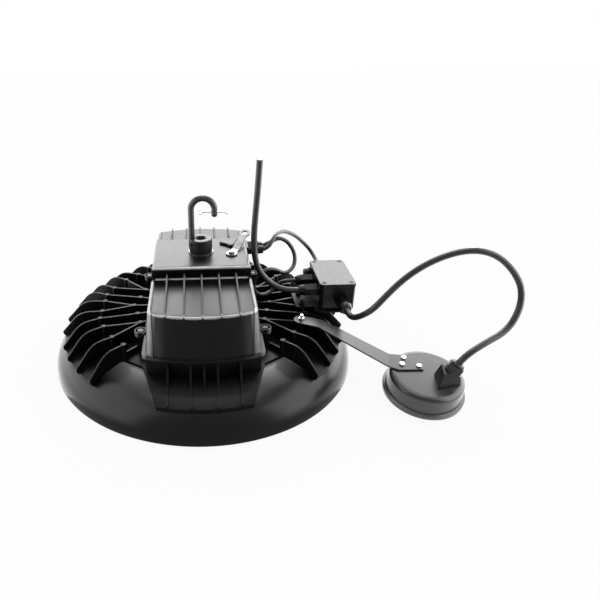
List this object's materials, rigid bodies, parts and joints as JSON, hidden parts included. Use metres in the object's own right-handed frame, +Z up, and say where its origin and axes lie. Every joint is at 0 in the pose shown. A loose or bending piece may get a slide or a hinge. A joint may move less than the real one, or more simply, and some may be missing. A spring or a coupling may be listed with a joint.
{
  "type": "high bay light",
  "caption": "Round suspended LED high bay light with a bell reflector, finned heat sink, driver housing, hook, junction box and a sensor on an arm.",
  "frame": {"origin": "on the lamp's axis in the plane of the reflector's mouth", "axes": "+Z up along the lamp's axis towards the hook, +X towards the sensor, -Y to the front"},
  "size_m": [0.558, 0.4, 0.2642],
  "materials": {
    "black_spun_aluminium": "glossy black lacquer on spun aluminium",
    "black_casting": "satin black powder coat on die-cast aluminium",
    "housing_coat": "semi-gloss black coat on die-cast aluminium",
    "zinc_steel": "zinc plated steel",
    "bright_steel": "polished stainless steel",
    "blackened_steel": "blackened steel",
    "black_rubber": "matt black rubber",
    "seal_rubber": "grey silicone",
    "cord_jacket": "smooth black rubber jacket",
    "black_plastic": "semi-gloss black polyamide",
    "nickel_brass": "nickel plated brass",
    "clear_lens": "clear polycarbonate",
    "white_board": "white solder mask on an aluminium board",
    "led_phosphor": "yellow phosphor",
    "driver_case": "plain anodised aluminium",
    "terminal_plastic": "light grey polyamide",
    "sensor_coat": "glossy black lacquer",
    "sensor_window": "milky polyethylene",
    "circuit_board": "green solder mask",
    "arm_coat": "satin dark grey coat on sheet steel"
  },
  "bodies": {
    "root": {"reflector": "black_spun_aluminium", "heat_sink": "black_casting", "led_board": "white_board", "led_chips": "led_phosphor", "led_board_screws": "zinc_steel", "wire_grommet": "black_rubber", "lens_cover": "clear_lens", "lens_gasket": "seal_rubber", "lens_ring": "blackened_steel", "ring_screws": "zinc_steel", "driver_housing": "housing_coat", "housing_gasket": "seal_rubber", "housing_screws": "zinc_steel", "led_driver": "driver_case", "driver_standoffs": "zinc_steel", "driver_screws": "zinc_steel", "hook_washer": "bright_steel", "hook_block": "blackened_steel", "hook_bolt": "zinc_steel", "hook_nut": "zinc_steel", "hook": "blackened_steel", "hook_set_screw": "blackened_steel", "hook_split_pin": "zinc_steel", "safety_lug": "bright_steel", "lug_screw": "bright_steel", "safety_clip": "blackened_steel", "driver_gland_bodies": "black_plastic", "driver_gland_nuts": "black_plastic", "driver_gland_seals": "seal_rubber", "junction_box": "black_plastic", "lid_gasket": "seal_rubber", "box_lid": "black_plastic", "lid_screws": "zinc_steel", "terminal_block": "terminal_plastic", "box_bracket": "blackened_steel", "bracket_bolts": "bright_steel", "box_screws": "zinc_steel", "box_gland_bodies": "nickel_brass", "box_gland_nuts": "black_plastic", "box_gland_seals": "seal_rubber", "blanking_plug": "black_plastic", "sensor_arm": "arm_coat", "arm_bolt": "bright_steel", "arm_screws": "bright_steel", "sensor_housing": "sensor_coat", "sensor_lens": "sensor_window", "sensor_board": "circuit_board", "sensor_board_screws": "zinc_steel", "cable_box": "black_plastic", "cable_box_screws": "zinc_steel", "sensor_gland_body": "nickel_brass", "sensor_gland_nut": "black_plastic", "sensor_gland_seal": "seal_rubber", "supply_cord": "cord_jacket", "driver_lead": "cord_jacket", "dimming_lead": "cord_jacket", "sensor_cord": "cord_jacket"}
  },
  "joints": []
}
